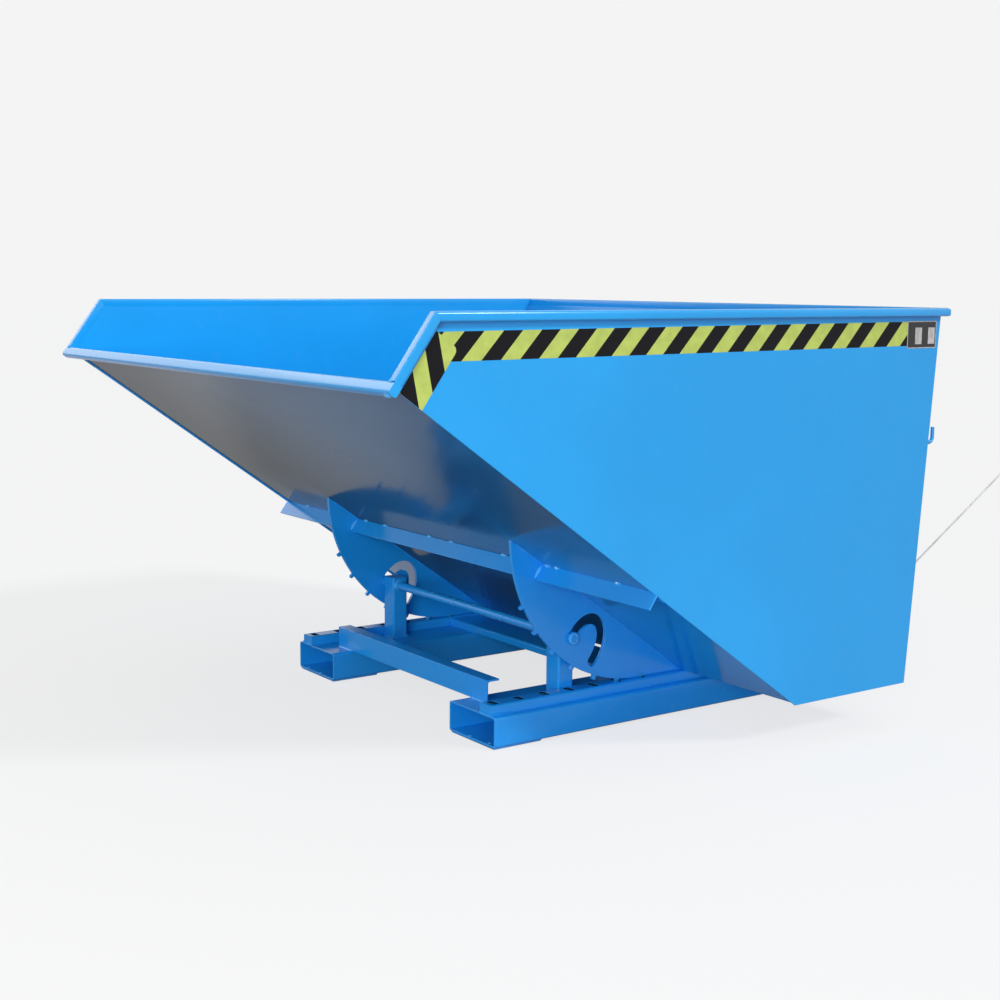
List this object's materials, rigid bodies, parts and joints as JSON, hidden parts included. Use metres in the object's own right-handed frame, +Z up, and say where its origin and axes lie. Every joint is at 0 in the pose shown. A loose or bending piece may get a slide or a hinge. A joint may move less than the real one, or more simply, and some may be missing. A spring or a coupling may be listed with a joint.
{
  "type": "tipping skip",
  "caption": "Steel tipping skip for a fork-lift truck: a wedge-shaped bucket on toothed rockers rolls forward along slotted rails to empty once a rope opens its latch.",
  "frame": {"origin": "on the floor, under the middle of the skip's own box, without the rope", "axes": "+X to the right side, +Y to the rear, where the forks go in, and +Z up; the load tips out towards -Y"},
  "size_m": [1.85, 2.3115, 1.105],
  "materials": {
    "bucket_paint": "gloss blue paint on sheet steel",
    "rim_paint": "gloss blue paint on box section",
    "rocker_paint": "gloss blue paint on cut plate",
    "base_paint": "gloss blue paint on folded plate, scuffed underneath",
    "rod_paint": "blue paint on round bar, worn",
    "latch_paint": "gloss blue paint on bar and plate",
    "hazard_tape": "yellow and black striped vinyl tape",
    "label_plate": "black plate with plain pale fields",
    "rope": "twisted white synthetic rope"
  },
  "bodies": {
    "base": {"fork_pocket_left": "base_paint", "fork_pocket_right": "base_paint", "skid_front_left": "base_paint", "skid_front_right": "base_paint", "skid_rear_left": "base_paint", "skid_rear_right": "base_paint", "rail_left": "base_paint", "rail_right": "base_paint", "post_left": "base_paint", "post_right": "base_paint", "latch_lugs_left": "base_paint", "latch_lugs_right": "base_paint", "front_cross_angle": "base_paint", "rear_cross_channel": "base_paint", "guide_rod": "rod_paint", "rod_collars": "rod_paint"},
    "carriage": {"roll_centre_discs": "bucket_paint"},
    "bucket": {"bottom_sheet": "bucket_paint", "cheek_rim_left": "rim_paint", "cheek_rim_right": "rim_paint", "front_lip": "rim_paint", "hazard_tape_left": "hazard_tape", "hazard_tape_right": "hazard_tape", "keeper_left": "bucket_paint", "keeper_right": "bucket_paint", "label_plate": "label_plate", "lip_end_caps": "rim_paint", "rear_wall": "bucket_paint", "rim_left": "rim_paint", "rim_rear": "rim_paint", "rim_right": "rim_paint", "rocker_left": "rocker_paint", "rocker_right": "rocker_paint", "rope_hook": "bucket_paint", "side_panel_left": "bucket_paint", "side_panel_right": "bucket_paint", "sloping_floor": "bucket_paint", "stiffener_centre": "bucket_paint", "stiffener_left": "bucket_paint", "stiffener_right": "bucket_paint"},
    "latch": {"latch_shaft": "latch_paint", "shaft_collars": "latch_paint", "latch_hook_left": "latch_paint", "latch_hook_right": "latch_paint", "latch_lever": "latch_paint", "rope_loop": "rope", "release_rope": "rope", "rope_knot": "rope"}
  },
  "joints": [
    {"name": "roll_travel", "type": "slide", "parent": "base", "child": "carriage", "axis": [0, -1, 0], "range_m": [0, 0.4866]},
    {"name": "bucket_tip", "type": "hinge", "parent": "carriage", "child": "bucket", "pos_m": [0, 0.19302, 0.533], "axis": [1, 0, 0], "range_deg": [0, 66]},
    {"name": "latch_release", "type": "hinge", "parent": "base", "child": "latch", "pos_m": [0, 0.827, 0.118], "axis": [-1, 0, 0], "range_deg": [0, 30]}
  ],
  "couplings": [
    {"joint": "roll_travel", "follows": "bucket_tip", "m_per_rad": 0.422}
  ]
}
